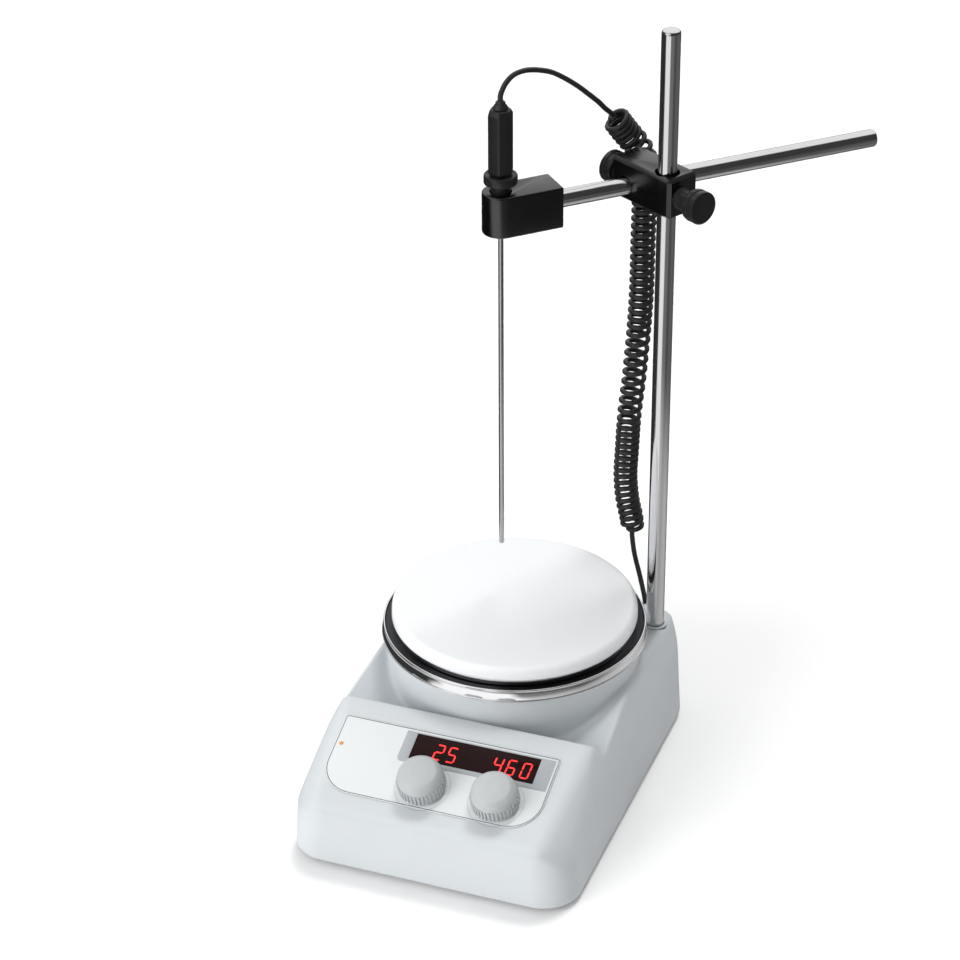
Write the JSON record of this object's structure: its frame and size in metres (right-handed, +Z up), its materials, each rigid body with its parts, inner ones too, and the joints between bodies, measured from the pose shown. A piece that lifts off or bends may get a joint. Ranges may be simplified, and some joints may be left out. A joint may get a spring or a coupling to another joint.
{
  "type": "heated magnetic stirrer",
  "caption": "Flat benchtop housing with a round white hot plate over spinning magnets, a sloping control panel, and a rear rod that clamps a temperature probe above the plate.",
  "frame": {"origin": "centre of the hot plate's top face", "axes": "+Z up, square to the plate; +Y to the rear, where the inlet and the support rod are; +X to the right seen from the front"},
  "size_m": [0.23, 0.305, 0.417],
  "materials": {
    "housing_plastic": "light grey textured casing plastic",
    "plate_ceramic": "white glass ceramic coating, satin",
    "overlay_film": "near-white printed film",
    "knob_plastic": "grey knob plastic",
    "chrome": "polished trim",
    "steel": "ground stainless steel",
    "dark_steel": "dark painted sheet and motor steel",
    "copper": "heater foil on its carrier",
    "black_anodised": "black anodised aluminium",
    "black_plastic": "black moulded plastic",
    "rubber": "black rubber",
    "display": "dark red filter window",
    "board": "green solder mask",
    "insulation": "pressed mineral fibre",
    "indicator": "amber lens"
  },
  "bodies": {
    "base": {"upper_housing": "housing_plastic", "bottom_cover": "dark_steel", "foot_front_left": "rubber", "foot_front_right": "rubber", "foot_rear_left": "rubber", "foot_rear_right": "rubber", "cover_screw_1": "steel", "cover_screw_2": "steel", "cover_screw_3": "steel", "cover_screw_4": "steel", "hot_plate": "plate_ceramic", "plate_trim_ring": "chrome", "heat_shield": "steel", "heater_disc": "copper", "insulation_disc": "insulation", "plate_post_1": "steel", "plate_post_2": "steel", "plate_post_3": "steel", "motor_bracket": "steel", "motor_body": "dark_steel", "panel_overlay": "overlay_film", "display_window": "display", "display_module": "black_plastic", "power_indicator": "indicator", "control_board": "board", "mains_inlet": "black_plastic", "rocker_frame": "black_plastic", "sensor_socket": "steel", "power_board": "board", "rod_bush": "steel", "rod_collar": "housing_plastic", "lead_lower": "rubber", "sensor_plug": "black_plastic", "temp_encoder": "black_plastic", "temp_nut": "steel", "speed_encoder": "black_plastic", "speed_nut": "steel"},
    "magnet_rotor": {"motor_shaft": "steel", "magnet_yoke": "dark_steel", "north_magnet": "steel", "south_magnet": "steel"},
    "temp_control": {"temp_stem": "steel", "temp_knob": "knob_plastic"},
    "speed_control": {"speed_stem": "steel", "speed_knob": "knob_plastic"},
    "rocker": {"power_rocker": "black_plastic"},
    "mast": {"support_rod": "steel"},
    "boss": {"boss_head": "black_anodised", "coil_upper": "rubber", "coil_hanging": "rubber"},
    "rod_clamp": {"rod_thumbscrew": "black_plastic"},
    "arm_clamp": {"arm_thumbscrew": "black_plastic"},
    "arm": {"arm_rod": "steel", "sensor_holder": "black_anodised"},
    "probe": {"probe_collar": "black_plastic", "probe_handle": "black_plastic", "probe_gland": "rubber", "probe_sheath": "steel", "lead_arc": "rubber"}
  },
  "joints": [
    {"name": "magnet_spin", "type": "hinge", "parent": "base", "child": "magnet_rotor", "pos_m": [0, 0, -0.041], "axis": [0, 0, 1], "continuous": true},
    {"name": "temp_turn", "type": "hinge", "parent": "base", "child": "temp_control", "pos_m": [-0.009, -0.11801, -0.04713], "axis": [0, -0.3584, 0.9336], "continuous": true},
    {"name": "speed_turn", "type": "hinge", "parent": "base", "child": "speed_control", "pos_m": [0.032, -0.11801, -0.04713], "axis": [0, -0.3584, 0.9336], "continuous": true},
    {"name": "power_rocker_tilt", "type": "hinge", "parent": "base", "child": "rocker", "pos_m": [-0.004, 0.071, -0.067], "axis": [1, 0, 0], "range_deg": [-16, 0]},
    {"name": "mast_swivel", "type": "hinge", "parent": "base", "child": "mast", "pos_m": [0.0645, 0.053, 0], "axis": [0, 0, 1], "range_deg": [-45, 45]},
    {"name": "boss_height", "type": "slide", "parent": "mast", "child": "boss", "axis": [0, 0, 1], "range_m": [-0.028, 0.07], "deforming": ["coil_hanging"]},
    {"name": "rod_screw_turn", "type": "hinge", "parent": "boss", "child": "rod_clamp", "pos_m": [0.07299, 0.0481, 0.2327], "axis": [0.866, -0.5, 0], "range_deg": [-360, 0]},
    {"name": "arm_screw_turn", "type": "hinge", "parent": "boss", "child": "arm_clamp", "pos_m": [0.03462, 0.07025, 0.2327], "axis": [-0.866, 0.5, 0], "range_deg": [-360, 0]},
    {"name": "arm_reach", "type": "slide", "parent": "boss", "child": "arm", "axis": [0.7193, 0.6947, 0], "range_m": [-0.04, 0.028]},
    {"name": "probe_depth", "type": "slide", "parent": "arm", "child": "probe", "axis": [0, 0, 1], "range_m": [0, 0.06], "deforming": ["lead_arc"]}
  ]
}
